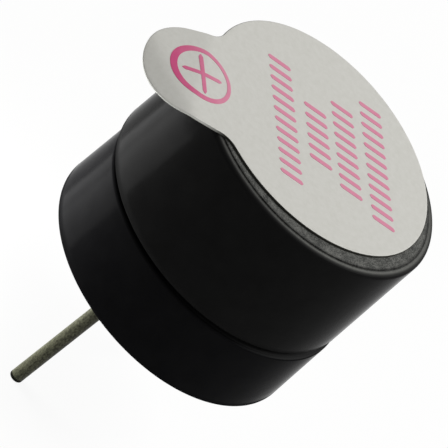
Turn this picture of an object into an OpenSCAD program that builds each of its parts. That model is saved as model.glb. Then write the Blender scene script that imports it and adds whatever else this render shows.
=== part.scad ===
// Round through-hole buzzer: two moulded case halves round a magnet, a coil and a steel diaphragm,
// with a drive board potted into the base, two wire pins and a peel-off seal over the sound hole.
// Origin at the centre of the seating plane, +Z up through the sound hole, pins on the X axis. Millimetres.

/* [Case] */
// Height of the flat top above the seating plane
case_h = 9.45; // [9.2:0.05:11]
// Outer radius of the upper case at its top edge
top_r = 6; // [5.9:0.05:6.5]
// How much wider the upper case is at its lower edge
upper_draft = 0.1; // [0:0.02:0.2]
// How much wider the lower case is at the parting line than the upper case at its top
base_step = 0; // [-0.05:0.01:0.1]
// How much wider the lower case is at the seating plane
base_draft = 0.09; // [0:0.01:0.2]
// Height of the lower case's shoulder at the parting line
parting_z = 3.58; // [3.4:0.02:4]
// Open gap between the two halves at the parting line
parting_gap = 0.06; // [0.04:0.01:0.15]
// Rounding of the upper case's top edge
top_edge_r = 0.19; // [0.1:0.01:0.3]
// Rounding of the upper case's lower edge
skirt_edge_r = 0.5; // [0.2:0.05:0.6]
// Rounding of the lower case's shoulder edge
shoulder_edge_r = 0.2; // [0.1:0.05:0.3]
// Rounding of the lower case's bottom edge
foot_edge_r = 0.28; // [0.1:0.02:0.4]
// Side wall of the upper case
upper_wall = 0.8; // [0.7:0.05:0.95]
// Roof of the upper case
roof_t = 0.9; // [0.6:0.05:1.1]
// Side wall of the lower case round the board
base_wall = 0.9; // [0.6:0.05:1]
// How far the upper case sits off the lower case's axis
case_shift = 0.147; // [0:0.007:0.175]
// Direction of that offset, degrees from +X
case_shift_angle = -69; // [-180:1:180]

/* [Top face] */
// Width of the rim outside the groove
rim_w = 0.26; // [0.2:0.01:0.4]
// Width of the groove round the flat
groove_w = 0.09; // [0.08:0.01:0.16]
// Depth of the groove below the flat
groove_d = 0.08; // [0.06:0.01:0.2]
// How far the rim outside the groove lies below the flat
rim_drop = 0.05; // [0.02:0.01:0.1]
// Radius of the sound hole
sound_hole_r = 1; // [0.6:0.05:1.5]

/* [Seal label] */
// How much smaller the label's disc is than the textured flat, on the radius
label_margin = 0.01; // [0:0.01:0.5]
// Thickness of the label
label_t = 0.12; // [0.08:0.01:0.2]
// How far the label sits off the upper case's axis
label_shift = 0.575; // [0:0.025:0.6]
// Direction of that offset, degrees from +X
label_shift_angle = -118; // [-180:1:180]
// Direction of the pull tab, degrees from +X
tab_angle = -35; // [-60:0.5:0]
// Distance of the tab's centre past the disc's edge, along the sheet
tab_out = 0.67; // [0.4:0.01:1]
// Radius of the tab
tab_r = 2.46; // [2:0.02:2.8]
// Fillet on each side of the neck between the disc and the tab
tab_fillet_r = 3; // [2:0.1:4]
// Flat stretch of the tab past the top face before it starts to droop
bend_gap = 0.07; // [0.01:0.01:0.2]
// Radius of the droop, on the label's upper face
bend_r = 6.2; // [5:0.1:9]

/* [Pins] */
// Distance of each pin's axis from the wall of the base's recess
pin_edge = 1.3; // [1.15:0.01:1.5]
// Radius of each pin
pin_r = 0.3; // [0.2:0.02:0.32]
// Length of the positive pin below the seating plane
positive_pin_len = 6.45; // [4:0.05:10]
// Length of the negative pin below the seating plane
negative_pin_len = 5.5; // [3:0.05:9]
// Chamfer at each pin's tip
pin_chamfer = 0.08; // [0.04:0.01:0.12]
// Width of each pin's square tail inside the resin and the board
pin_tail_w = 0.42; // [0.3:0.02:0.42]
// How far each pin stands above the board
pin_stub = 0.35; // [0.2:0.05:0.5]

/* [Drive board] */
// Recess of the resin below the seating plane
resin_recess = 0.25; // [0.1:0.05:0.5]
// Depth of the resin under the board
resin_depth = 1.55; // [1.4:0.05:1.8]
// Thickness of the board
board_t = 0.8; // [0.6:0.1:1]
// Gap round the board's edge
board_gap = 0.08; // [0.04:0.01:0.15]
// Radius of each solder cone where it meets the board
solder_r = 0.42; // [0.38:0.01:0.45]
// Height of each solder cone
solder_h = 0.25; // [0.15:0.05:0.3]
// Length of the transistor's moulded body
transistor_l = 2.9; // [2.4:0.1:3.1]
// Width of the transistor's moulded body
transistor_w = 1.3; // [1.1:0.1:1.5]
// Height of the transistor's moulded body
transistor_h = 0.95; // [0.8:0.05:1.1]
// Span of the transistor over its legs
transistor_span = 2.4; // [2.2:0.1:2.6]
// Spacing of the two legs on the transistor's one side
transistor_pitch = 1.9; // [1.7:0.1:2]
// Width of each transistor leg
leg_w = 0.4; // [0.3:0.05:0.5]
// Thickness of each transistor leg
leg_t = 0.13; // [0.1:0.01:0.2]
// Length of each leg's foot
foot_l = 0.35; // [0.25:0.05:0.4]
// Gap between the transistor's body and the board
transistor_gap = 0.08; // [0.05:0.01:0.12]
// Length of the chip resistor
resistor_l = 2; // [1.6:0.1:2.2]
// Width of the chip resistor
resistor_w = 1.25; // [0.8:0.05:1.4]
// Height of the chip resistor
resistor_h = 0.5; // [0.4:0.05:0.6]
// Length of each of the resistor's metal ends
resistor_end_l = 0.4; // [0.3:0.05:0.5]
// How far the metal ends stand proud of the resistor's body
resistor_end_t = 0.04; // [0.02:0.01:0.06]
// Distance of the board's parts from its middle, along Y
part_y = 2; // [1.8:0.05:2.2]

/* [Magnet system] */
// Flange in the lower case between the board and the yoke
flange_t = 0.6; // [0.5:0.05:0.8]
// Width of the ledge that carries the yoke
ledge_w = 0.22; // [0.15:0.01:0.26]
// Wall of the spigot on which the upper case slips
spigot_wall = 0.5; // [0.4:0.02:0.56]
// Sideways clearance between the spigot and the upper case, past the offset
spigot_gap = 0.05; // [0.03:0.01:0.06]
// Clearance of the yoke and the magnet in the lower case
magnet_fit = 0.04; // [0.02:0.01:0.08]
// Thickness of the yoke plate
yoke_t = 0.8; // [0.6:0.1:1]
// Share of the free height between yoke and roof that the magnet takes, the rest being the sound chamber
magnet_share = 0.575; // [0.5:0.005:0.65]
// Share of the ring magnet's radius that its bore takes
magnet_bore_share = 0.672; // [0.62:0.004:0.74]
// Share of the winding's radius that the pole core takes
core_share = 0.385; // [0.3:0.005:0.45]
// How much thinner the core's riveted tail in the yoke is, on the radius
core_step = 0.3; // [0.2:0.05:0.5]
// Air gap between the core and the diaphragm
air_gap = 0.25; // [0.15:0.05:0.4]
// Clearance between the core and the winding
coil_fit = 0.05; // [0.02:0.01:0.1]
// Gap between the winding and the magnet
coil_gap = 0.4; // [0.3:0.02:0.7]
// How far the winding stays below the magnet's top
coil_drop = 0.2; // [0.1:0.02:0.6]
// Number of turns that show on the winding's outside
coil_turns = 12; // [8:1:16]
// Radius of each lead from the winding to the board
lead_r = 0.08; // [0.05:0.01:0.12]
// Distance of the leads from the winding's outside
lead_inset = 0.5; // [0.4:0.02:0.7]
// Radius of the holes for the leads in the yoke
lead_hole_r = 0.25; // [0.2:0.01:0.3]
// Half the angle between the leads, degrees
lead_angle = 20; // [12:1:40]

/* [Diaphragm] */
// Space between the magnet and the diaphragm
magnet_gap = 0.6; // [0.5:0.05:0.8]
// Thickness of the diaphragm
diaphragm_t = 0.1; // [0.06:0.01:0.15]
// Gap round the diaphragm's edge
diaphragm_gap = 0.05; // [0.03:0.01:0.06]
// Height of the rim round the diaphragm
diaphragm_rim_h = 0.3; // [0.2:0.05:0.4]
// Width of the seat under the diaphragm's edge
diaphragm_seat_w = 0.25; // [0.2:0.01:0.28]
// Radius of the weight disc on the diaphragm
armature_r = 2; // [1.6:0.1:2.4]
// Thickness of the weight disc
armature_t = 0.4; // [0.3:0.05:0.5]
// Width of the upper case's shoulder on the lower case's rim
shoulder_w = 0.65; // [0.5:0.05:0.8]

/* [Hidden] */
$fn = 96;
arc_steps = 6;
disc_steps = 120;
tab_steps = 36;
turn_steps = 4;
droop_steps = 20;
droop_spare = 5;
cut = 1;

// Heights, from the seating plane up
board_z = resin_recess + resin_depth;
board_top = board_z + board_t;
yoke_z = board_top + flange_t;
yoke_top = yoke_z + yoke_t;
roof_z = case_h - roof_t;
magnet_h = magnet_share * (roof_z - yoke_top - magnet_gap - diaphragm_rim_h);
coil_h = magnet_h - coil_drop;
seat_z = yoke_top + magnet_h + magnet_gap;
rim_top = seat_z + diaphragm_rim_h;
skirt_z = parting_z + parting_gap;
label_top = case_h + label_t;

// Radii, from the outside in
groove_out_r = top_r - rim_w;
flat_r = groove_out_r - groove_w;
label_r = flat_r - label_margin;
tab_reach = label_r + tab_out;
skirt_r = top_r + upper_draft;
base_top_r = top_r + base_step;
foot_r = base_top_r + base_draft;
upper_bore_r = top_r - upper_wall;
chamber_r = upper_bore_r - shoulder_w;
spigot_r = upper_bore_r - spigot_gap - case_shift;
magnet_bore_r = spigot_r - spigot_wall;
diaphragm_bore_r = magnet_bore_r + diaphragm_seat_w;
ledge_r = magnet_bore_r - ledge_w;
base_bore_r = base_top_r - base_wall;
yoke_r = magnet_bore_r - magnet_fit;
board_r = base_bore_r - board_gap;
pin_pitch = 2 * (base_bore_r - pin_edge);
magnet_in_r = magnet_bore_share * yoke_r;
coil_r = magnet_in_r - coil_gap;
core_r = core_share * coil_r;
core_tail_r = core_r - core_step;
lead_pos_r = coil_r - lead_inset;

// Where the tab starts to droop, from the label's centre: clear of the top face
bend_start = flat_r - label_shift * cos(label_shift_angle - tab_angle) + bend_gap;

// Points of an arc round c from angle a0 to a1, with its two end points or, at ends = 0, without them
function arc(c, r, a0, a1, steps = arc_steps, ends = 1) =
    [for (i = [1 - ends : steps - 1 + ends])
        let (a = a0 + (a1 - a0) * i / steps)
        c + r * [cos(a), sin(a)]];

// Moves its children to the upper case's own axis
module on_upper_axis() {
    translate([case_shift * cos(case_shift_angle), case_shift * sin(case_shift_angle), 0]) children();
}

// Moves its children to the label's centre, with the tab along +X
module on_label() {
    on_upper_axis()
        translate([label_shift * cos(label_shift_angle), label_shift * sin(label_shift_angle), 0])
            rotate(tab_angle) children();
}

// Moves its children to one of the two pins, side 1 or -1
module at_pin(side) {
    translate([side * pin_pitch / 2, 0, 0]) children();
}

// Moves its children to the two leads of the winding
module at_leads() {
    for (side = [-1, 1])
        rotate(90 + side * lead_angle) translate([lead_pos_r, 0, 0]) children();
}

// Flat outline of the label: a disc and a tab, with a fillet on each side of the neck
function flat_outline() =
    let (to_disc = label_r + tab_fillet_r,
         to_tab = tab_r + tab_fillet_r,
         x = (tab_reach * tab_reach + to_disc * to_disc - to_tab * to_tab) / (2 * tab_reach),
         y = sqrt(to_disc * to_disc - x * x),
         from_disc = atan2(y, x),
         from_tab = atan2(y, tab_reach - x))
    concat(arc([0, 0], label_r, from_disc, 360 - from_disc, disc_steps),
           arc([x, -y], tab_fillet_r, 180 - from_disc, from_tab, ends = 0),
           arc([tab_reach, 0], tab_r, from_tab - 180, 180 - from_tab, tab_steps),
           arc([x, y], tab_fillet_r, -from_tab, from_disc - 180, ends = 0));

// Where a point s along the flat sheet comes to lie, seen from above, once the tab droops
function drooped(s) =
    s < bend_start ? s : bend_start + bend_r * sin((s - bend_start) / bend_r * 180 / PI);

// Section of the sheet along the tab: flat on the case, then an arc downwards past the tab's tip
module sheet_section() {
    droop_c = [bend_start, label_top - bend_r];
    droop_turn = (tab_reach + tab_r - bend_start) / bend_r * 180 / PI + droop_spare;
    polygon(concat(
        [[-label_r - cut, case_h], [-label_r - cut, label_top]],
        arc(droop_c, bend_r, 90, 90 - droop_turn, droop_steps),
        arc(droop_c, bend_r - label_t, 90 - droop_turn, 90, droop_steps)));
}

// Peel-off paper seal, stuck flat on the roof, with its pull tab drooping past the edge
module seal_label() color("gainsboro") on_label() intersection() {
    rotate([90, 0, 0]) linear_extrude(2 * (label_r + cut), center = true) sheet_section();
    translate([0, 0, label_top - bend_r]) linear_extrude(bend_r + cut)
        polygon([for (q = flat_outline()) [drooped(q[0]), q[1]]]);
}

// Moulded cap: drafted wall with a rounded skirt, grooved top face, stepped bore and sound hole
module upper_case() color("#17181a") on_upper_axis() {
    rim_z = case_h - rim_drop;
    rotate_extrude() polygon(concat(
        [[sound_hole_r, roof_z], [sound_hole_r, case_h], [flat_r, case_h], [flat_r, case_h - groove_d],
         [groove_out_r, case_h - groove_d], [groove_out_r, rim_z]],
        arc([top_r - top_edge_r, rim_z - top_edge_r], top_edge_r, 90, 0),
        arc([skirt_r - skirt_edge_r, skirt_z + skirt_edge_r], skirt_edge_r, 0, -90),
        [[upper_bore_r, skirt_z], [upper_bore_r, rim_top], [chamber_r, rim_top], [chamber_r, roof_z]]));
}

// Moulded base: board recess below, ledge and spigot above, seat and rim for the diaphragm
module lower_case() color("#141516") {
    rotate_extrude() polygon(concat(
        [[base_bore_r, board_top], [base_bore_r, 0]],
        arc([foot_r - foot_edge_r, foot_edge_r], foot_edge_r, -90, 0),
        arc([base_top_r - shoulder_edge_r, parting_z - shoulder_edge_r], shoulder_edge_r, 0, 90),
        [[spigot_r, parting_z], [spigot_r, rim_top], [diaphragm_bore_r, rim_top], [diaphragm_bore_r, seat_z],
         [magnet_bore_r, seat_z], [magnet_bore_r, yoke_z], [ledge_r, yoke_z], [ledge_r, board_top]]));
}

// Thin steel disc that lies loose on its seat
module diaphragm() color("silver") {
    translate([0, 0, seat_z]) cylinder(r = diaphragm_bore_r - diaphragm_gap, h = diaphragm_t);
}

// Weight welded to the middle of the diaphragm
module armature_disc() color("dimgray") {
    translate([0, 0, seat_z + diaphragm_t]) cylinder(r = armature_r, h = armature_t);
}

// Plastic-bonded ferrite ring on the yoke
module ring_magnet() color("#3a3836") {
    translate([0, 0, yoke_top]) difference() {
        cylinder(r = yoke_r, h = magnet_h);
        translate([0, 0, -cut]) cylinder(r = magnet_in_r, h = magnet_h + 2 * cut);
    }
}

// Enamelled wire wound on the core, each outside turn a half round
module coil_winding() color("#b5622d") {
    turn_r = coil_h / coil_turns / 2;
    coil_in_r = core_r + coil_fit;
    turn_x = coil_r - turn_r;
    turns = [for (i = [0 : coil_turns - 1])
        each arc([turn_x, (2 * i + 1) * turn_r], turn_r, -90, 90 - 180 / turn_steps, turn_steps - 1)];
    translate([0, 0, yoke_top]) rotate_extrude()
        polygon(concat(turns, [[turn_x, coil_h], [coil_in_r, coil_h], [coil_in_r, 0]]));
}

// Soft iron core, its tail riveted through the yoke
module pole_core() color("gray") {
    translate([0, 0, yoke_top]) cylinder(r = core_r, h = magnet_h + magnet_gap - air_gap);
    translate([0, 0, yoke_z]) cylinder(r = core_tail_r, h = yoke_t);
}

// Soft iron plate under the magnet, with a hole for the core and two for the leads
module yoke_plate() color("lightslategray") {
    translate([0, 0, yoke_z]) difference() {
        cylinder(r = yoke_r, h = yoke_t);
        translate([0, 0, -cut]) cylinder(r = core_tail_r, h = yoke_t + 2 * cut);
        translate([0, 0, -cut]) at_leads() cylinder(r = lead_hole_r, h = yoke_t + 2 * cut);
    }
}

// Round drive board against the flange, drilled for the pins
module circuit_board() color("#2e6b3a") {
    translate([0, 0, board_z]) difference() {
        cylinder(r = board_r, h = board_t);
        for (side = [-1, 1])
            at_pin(side) translate([0, 0, -cut]) pin_tail(board_t + 2 * cut);
    }
}

// One gull-wing leg: out of the body, down and along the board
module transistor_leg() {
    reach = transistor_span / 2;
    knee = reach - foot_l;
    leg_z = transistor_gap + transistor_h / 2;
    rotate([90, 0, 0]) linear_extrude(leg_w, center = true)
        polygon([[transistor_w / 2, leg_z], [knee, leg_z], [knee, 0], [reach, 0], [reach, leg_t],
                 [knee + leg_t, leg_t], [knee + leg_t, leg_z + leg_t], [transistor_w / 2, leg_z + leg_t]]);
}

// Three-legged transistor hanging under the board
module transistor() color("#222222") {
    translate([0, part_y, board_z]) rotate([180, 0, 90]) {
        translate([-transistor_w / 2, -transistor_l / 2, transistor_gap])
            cube([transistor_w, transistor_l, transistor_h]);
        for (side = [-1, 1])
            translate([0, side * transistor_pitch / 2, 0]) transistor_leg();
        rotate(180) transistor_leg();
    }
}

// Chip resistor under the board, with metal ends
module base_resistor() color("#30343a") {
    translate([0, -part_y, board_z]) rotate([180, 0, 0]) {
        translate([-resistor_l / 2 + resistor_end_t, -resistor_w / 2 + resistor_end_t, resistor_end_t])
            cube([resistor_l - 2 * resistor_end_t, resistor_w - 2 * resistor_end_t, resistor_h - 2 * resistor_end_t]);
        for (side = [0, 1])
            mirror([side, 0, 0]) translate([resistor_l / 2 - resistor_end_l, -resistor_w / 2, 0])
                cube([resistor_end_l, resistor_w, resistor_h]);
    }
}

// Square stretch of a pin, coined so that it can't turn or pull out
module pin_tail(length) {
    linear_extrude(length) square(pin_tail_w, center = true);
}

// Tinned round wire: chamfered tip, round shank up to the resin, square tail through the board
module pin(side, length) {
    at_pin(side) {
        translate([0, 0, resin_recess]) pin_tail(board_top + pin_stub - resin_recess);
        translate([0, 0, pin_chamfer - length]) cylinder(r = pin_r, h = length - pin_chamfer + resin_recess);
        translate([0, 0, -length]) cylinder(r1 = pin_r - pin_chamfer, r2 = pin_r, h = pin_chamfer);
    }
}

module positive_pin() color("#8d8c80") pin(1, positive_pin_len);

module negative_pin() color("#8d8c80") pin(-1, negative_pin_len);

// Cone of solder round each pin on the board's upper side
module solder_joints() color("#a9abad") {
    for (side = [-1, 1])
        at_pin(side) translate([0, 0, board_top]) difference() {
            cylinder(r1 = solder_r, r2 = pin_r, h = solder_h);
            translate([0, 0, -cut]) pin_tail(solder_h + 2 * cut);
        }
}

// The winding's two ends, straight down through the yoke to the board
module coil_leads() color("#b5622d") {
    at_leads() translate([0, 0, board_top]) cylinder(r = lead_r, h = yoke_top - board_top);
}

// Cast resin that fills the base under the board, round the pins and the board's parts
module potting_resin() color("#1b1b1c") {
    difference() {
        translate([0, 0, resin_recess]) cylinder(r = base_bore_r, h = resin_depth);
        for (side = [-1, 1])
            at_pin(side) pin_tail(board_z + cut);
        transistor();
        base_resistor();
    }
}

seal_label();
upper_case();
lower_case();
diaphragm();
armature_disc();
ring_magnet();
coil_winding();
pole_core();
yoke_plate();
circuit_board();
transistor();
base_resistor();
positive_pin();
negative_pin();
solder_joints();
coil_leads();
potting_resin();
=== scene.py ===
# A round through-hole buzzer: black two-part case, paper seal with a pull tab, tinned pins.
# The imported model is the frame, in metres, with +Z up through the sound hole and the pins on X.
import math

import bmesh
import bpy
import numpy as np
from mathutils import Matrix, Vector


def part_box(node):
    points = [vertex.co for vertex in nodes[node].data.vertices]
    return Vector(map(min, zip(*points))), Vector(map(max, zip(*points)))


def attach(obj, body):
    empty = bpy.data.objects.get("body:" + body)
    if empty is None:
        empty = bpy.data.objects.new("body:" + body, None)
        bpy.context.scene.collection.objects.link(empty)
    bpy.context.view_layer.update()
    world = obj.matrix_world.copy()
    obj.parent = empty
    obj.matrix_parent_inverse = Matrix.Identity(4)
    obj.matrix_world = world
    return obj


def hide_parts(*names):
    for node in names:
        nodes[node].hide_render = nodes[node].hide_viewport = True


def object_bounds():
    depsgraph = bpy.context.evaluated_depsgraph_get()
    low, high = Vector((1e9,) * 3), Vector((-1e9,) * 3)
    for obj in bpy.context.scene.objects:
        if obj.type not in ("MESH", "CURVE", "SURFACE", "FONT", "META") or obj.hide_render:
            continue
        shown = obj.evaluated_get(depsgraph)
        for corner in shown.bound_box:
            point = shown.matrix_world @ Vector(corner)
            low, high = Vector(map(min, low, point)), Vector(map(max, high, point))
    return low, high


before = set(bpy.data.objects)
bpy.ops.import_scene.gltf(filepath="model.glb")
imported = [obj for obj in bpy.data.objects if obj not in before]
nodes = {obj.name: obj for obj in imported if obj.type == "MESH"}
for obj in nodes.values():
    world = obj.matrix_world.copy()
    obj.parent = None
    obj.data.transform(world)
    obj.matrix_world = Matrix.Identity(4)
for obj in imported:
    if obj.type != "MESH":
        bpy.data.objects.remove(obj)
CAD_BOX = [list(corner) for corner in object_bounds()]


# Camera
# A long lens close to a parallel view, from above the positive pin.
# It is rolled, so that the case leans to the right in the frame.
# Sizes are in millimetres all through the file, and MM brings them to the frame's metres.
MM = 0.001
VIEW_AZIMUTH = 17.07
VIEW_ELEVATION = 32.68
VIEW_ROLL = math.radians(49.63)
VIEW_DISTANCE = 260.98 * MM
VIEW_TARGET = Vector((0.60, -0.26, 4.0)) * MM
NEAR_CLIP = 1 * MM
FOCAL_PIXELS = 6500
FRAME_PIXELS = 448
SENSOR_MM = 36


def bearing(azimuth, elevation):
    """Unit vector at an azimuth a and an elevation e: (cos e cos a, cos e sin a, sin e)."""
    turn, tilt = math.radians(azimuth), math.radians(elevation)
    return Vector((
        math.cos(tilt) * math.cos(turn), math.cos(tilt) * math.sin(turn), math.sin(tilt)))


towards_camera = bearing(VIEW_AZIMUTH, VIEW_ELEVATION)
level_right = Vector((0, 0, 1)).cross(towards_camera).normalized()
level_up = towards_camera.cross(level_right)
view_right = level_right * math.cos(VIEW_ROLL) + level_up * math.sin(VIEW_ROLL)
view_up = level_up * math.cos(VIEW_ROLL) - level_right * math.sin(VIEW_ROLL)
camera_data = bpy.data.cameras.new("camera")
camera_data.sensor_width = SENSOR_MM
camera_data.lens = FOCAL_PIXELS * SENSOR_MM / FRAME_PIXELS
camera_data.clip_start = NEAR_CLIP
camera = bpy.data.objects.new("camera", camera_data)
camera.matrix_world = (
    Matrix.Translation(VIEW_TARGET + towards_camera * VIEW_DISTANCE)
    @ Matrix((view_right, view_up, towards_camera)).transposed().to_4x4())
bpy.context.scene.collection.objects.link(camera)
bpy.context.scene.camera = camera
bpy.context.scene.view_settings.view_transform = "Standard"


# Studio
# A white floor under the pin tips, a white surround, a soft lamp overhead and two strip lamps.
# Seen directly or mirrored, floor and surround are white, and the floor still takes the shadow.
FLOOR_HALF = 400 * MM
FLOOR_WHITE_SHARE = 0.92
FLOOR_HEX = "#f4f4f2"
WHITE = (1, 1, 1, 1)
AMBIENT_STRENGTH = 0.30
KEY_WIDTH = 150
KEY_Z = 5.0
STRIP_DISTANCE = 12.8
STRIP_HEIGHT = 10
STRIP_Z = -1.4


def linear(hex_colour):
    """Linear RGBA of an sRGB hex colour.

    Each channel c becomes c / 12.92 up to 0.04045, and ((c + 0.055) / 1.055) ** 2.4 above it.
    """
    srgb = np.array([int(hex_colour[i:i + 2], 16) for i in (1, 3, 5)]) / 255
    return (*np.where(srgb <= 0.04045, srgb / 12.92, ((srgb + 0.055) / 1.055) ** 2.4).tolist(), 1.0)


def add_node(tree, kind, inputs, stops=(), **settings):
    """Adds a node; inputs maps a socket's name or number to a value or to the output that feeds it.

    The stops of a colour ramp are pairs of a position and a colour, as a hex value or as RGBA.
    """
    node = tree.nodes.new(kind)
    for name, value in settings.items():
        setattr(node, name, value)
    for key, value in inputs.items():
        if isinstance(value, bpy.types.NodeSocket):
            tree.links.new(node.inputs[key], value)
        else:
            node.inputs[key].default_value = value
    while stops and len(node.color_ramp.elements) < len(stops):
        node.color_ramp.elements.new(1.0)
    for number, (position, colour) in enumerate(stops):
        stop = node.color_ramp.elements[number]
        stop.position = position
        stop.color = linear(colour) if isinstance(colour, str) else colour
    return node


def seen_or_mirrored(tree):
    """1 for a ray from the camera, a glossy surface or glass, and 0 for light on the pieces."""
    path = add_node(tree, "ShaderNodeLightPath", {})
    direct = add_node(tree, "ShaderNodeMath", {
        0: path.outputs["Is Camera Ray"], 1: path.outputs["Is Glossy Ray"]}, operation="MAXIMUM")
    shown = add_node(tree, "ShaderNodeMath", {
        0: direct.outputs[0], 1: path.outputs["Is Transmission Ray"]}, operation="MAXIMUM")
    return shown.outputs[0]


floor_z = CAD_BOX[0][2]
floor_mesh = bpy.data.meshes.new("floor")
floor_mesh.from_pydata(
    [(x * FLOOR_HALF, y * FLOOR_HALF, floor_z) for x, y in ((-1, -1), (1, -1), (1, 1), (-1, 1))],
    [], [(0, 1, 2, 3)])
floor = bpy.data.objects.new("floor", floor_mesh)
bpy.context.scene.collection.objects.link(floor)
floor_paint = bpy.data.materials.new("white_floor")
floor_paint.use_nodes = True
tree = floor_paint.node_tree
tree.nodes.clear()
matte = add_node(tree, "ShaderNodeBsdfDiffuse", {"Color": linear(FLOOR_HEX)})
white = add_node(tree, "ShaderNodeEmission", {"Color": WHITE, "Strength": 1.0})
white_share = add_node(tree, "ShaderNodeMath", {
    0: seen_or_mirrored(tree), 1: FLOOR_WHITE_SHARE}, operation="MULTIPLY")
floor_mix = add_node(tree, "ShaderNodeMixShader", {
    0: white_share.outputs[0], 1: matte.outputs[0], 2: white.outputs[0]})
add_node(tree, "ShaderNodeOutputMaterial", {"Surface": floor_mix.outputs[0]})
floor_mesh.materials.append(floor_paint)

surround = bpy.data.worlds.new("surround")
surround.use_nodes = True
tree = surround.node_tree
tree.nodes.clear()
ambient = add_node(tree, "ShaderNodeBackground", {"Color": WHITE, "Strength": AMBIENT_STRENGTH})
backdrop = add_node(tree, "ShaderNodeBackground", {"Color": WHITE, "Strength": 1.0})
surround_mix = add_node(tree, "ShaderNodeMixShader", {
    0: seen_or_mirrored(tree), 1: ambient.outputs[0], 2: backdrop.outputs[0]})
add_node(tree, "ShaderNodeOutputWorld", {"Surface": surround_mix.outputs[0]})
bpy.context.scene.world = surround


def add_softbox(name, azimuth, elevation, distance, middle_z, width, height, radiance):
    """Rectangular lamp that faces the case's axis at middle_z, in degrees and millimetres.

    Its power in watts is radiance times pi times its area.
    """
    lamp_data = bpy.data.lights.new(name, "AREA")
    lamp_data.shape = "RECTANGLE"
    lamp_data.size = width * MM
    lamp_data.size_y = height * MM
    lamp_data.energy = radiance * math.pi * width * height * MM ** 2
    direction = bearing(azimuth, elevation)
    lamp = bpy.data.objects.new(name, lamp_data)
    lamp.matrix_world = (
        Matrix.Translation(Vector((0, 0, middle_z * MM)) + direction * distance * MM)
        @ direction.to_track_quat("Z", "Y").to_matrix().to_4x4())
    lamp.visible_camera = False
    bpy.context.scene.collection.objects.link(lamp)


add_softbox("key_lamp", azimuth=140, elevation=58, distance=220, middle_z=KEY_Z,
            width=KEY_WIDTH, height=KEY_WIDTH, radiance=5.65)
add_softbox("strip_lamp", azimuth=-57, elevation=0, distance=STRIP_DISTANCE, middle_z=STRIP_Z,
            width=6.8, height=STRIP_HEIGHT, radiance=8.6)
add_softbox("strip_end_lamp", azimuth=-79, elevation=0, distance=STRIP_DISTANCE, middle_z=STRIP_Z,
            width=3.1, height=STRIP_HEIGHT, radiance=5.0)


# Circuit board
# The round drive board in the base, glass laminate under green solder mask, punched from a panel.
# It is sealed in by the resin below it and the flange above it.
BOARD_MASK_HEX = "#1f5a34"
BOARD_GLASS_HEX = "#2f6b43"
GLASS_WEAVE_MM = 0.35
GLASS_WEAVE_DEPTH = 0.01
MASK_PATCH_MM = 0.7


def new_finish(name, sockets):
    """Material of that name, whose Principled shader has these values in its sockets.

    Gives the material, its node tree, its shader and its Object coordinates.
    """
    finish = bpy.data.materials.new(name)
    finish.use_nodes = True
    tree = finish.node_tree
    tree.nodes.clear()
    shader = add_node(tree, "ShaderNodeBsdfPrincipled", sockets)
    add_node(tree, "ShaderNodeOutputMaterial", {"Surface": shader.outputs[0]})
    return finish, tree, shader, add_node(tree, "ShaderNodeTexCoord", {}).outputs["Object"]


def dress(node_name, finish):
    """Gives a node of the frame this material in place of its own."""
    for slot in nodes[node_name].material_slots:
        slot.material = finish


# Glass fabric under thin green mask: a half-glossy green with the weave just raised.
laminate, tree, shader, place = new_finish("glass_laminate", {"Roughness": 0.35})
weave = add_node(tree, "ShaderNodeTexChecker", {
    "Vector": place, "Scale": 1 / (GLASS_WEAVE_MM * MM)})
mottle = add_node(tree, "ShaderNodeTexNoise", {
    "Vector": place, "Scale": 1 / (MASK_PATCH_MM * MM)})
mask_tone = add_node(tree, "ShaderNodeValToRGB", {0: mottle.outputs[0]}, (
    (0.3, BOARD_MASK_HEX), (0.7, BOARD_GLASS_HEX)))
tree.links.new(shader.inputs["Base Color"], mask_tone.outputs[0])
weave_bump = add_node(tree, "ShaderNodeBump", {
    "Height": weave.outputs["Fac"], "Distance": GLASS_WEAVE_DEPTH * MM})
tree.links.new(shader.inputs["Normal"], weave_bump.outputs[0])
dress("circuit_board", laminate)


# Transistor and resistor
# The drive transistor, black moulded epoxy on bent tinned legs, and the chip resistor beside it.
# Both are soldered flat under the board, where the resin covers them.
EPOXY_HEX = "#1c1c1d"
EPOXY_DUST_HEX = "#2b2b2c"
EPOXY_GRIT_MM = 0.08
EPOXY_GRIT_DEPTH = 0.006
CHIP_HEX = "#23282c"
CHIP_FLECK_HEX = "#8f9290"
CHIP_GLAZE_MM = 0.2

# Filled moulding compound: dull black with a fine grit.
epoxy, tree, shader, place = new_finish("moulded_epoxy", {"Roughness": 0.55})
grit = add_node(tree, "ShaderNodeTexNoise", {
    "Vector": place, "Scale": 1 / (EPOXY_GRIT_MM * MM), "Detail": 3.0})
grit_tone = add_node(tree, "ShaderNodeValToRGB", {0: grit.outputs[0]}, (
    (0.3, EPOXY_HEX), (0.7, EPOXY_DUST_HEX)))
tree.links.new(shader.inputs["Base Color"], grit_tone.outputs[0])
grit_bump = add_node(tree, "ShaderNodeBump", {
    "Height": grit.outputs[0], "Distance": EPOXY_GRIT_DEPTH * MM})
tree.links.new(shader.inputs["Normal"], grit_bump.outputs[0])
dress("transistor", epoxy)

# Glazed alumina: smooth blue-black with pale flecks.
chip, tree, shader, place = new_finish("glazed_chip", {"Roughness": 0.3})
glaze = add_node(tree, "ShaderNodeTexNoise", {
    "Vector": place, "Scale": 1 / (CHIP_GLAZE_MM * MM)})
glaze_tone = add_node(tree, "ShaderNodeValToRGB", {0: glaze.outputs[0]}, (
    (0.55, CHIP_HEX), (0.9, CHIP_FLECK_HEX)))
tree.links.new(shader.inputs["Base Color"], glaze_tone.outputs[0])
dress("base_resistor", chip)


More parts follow.
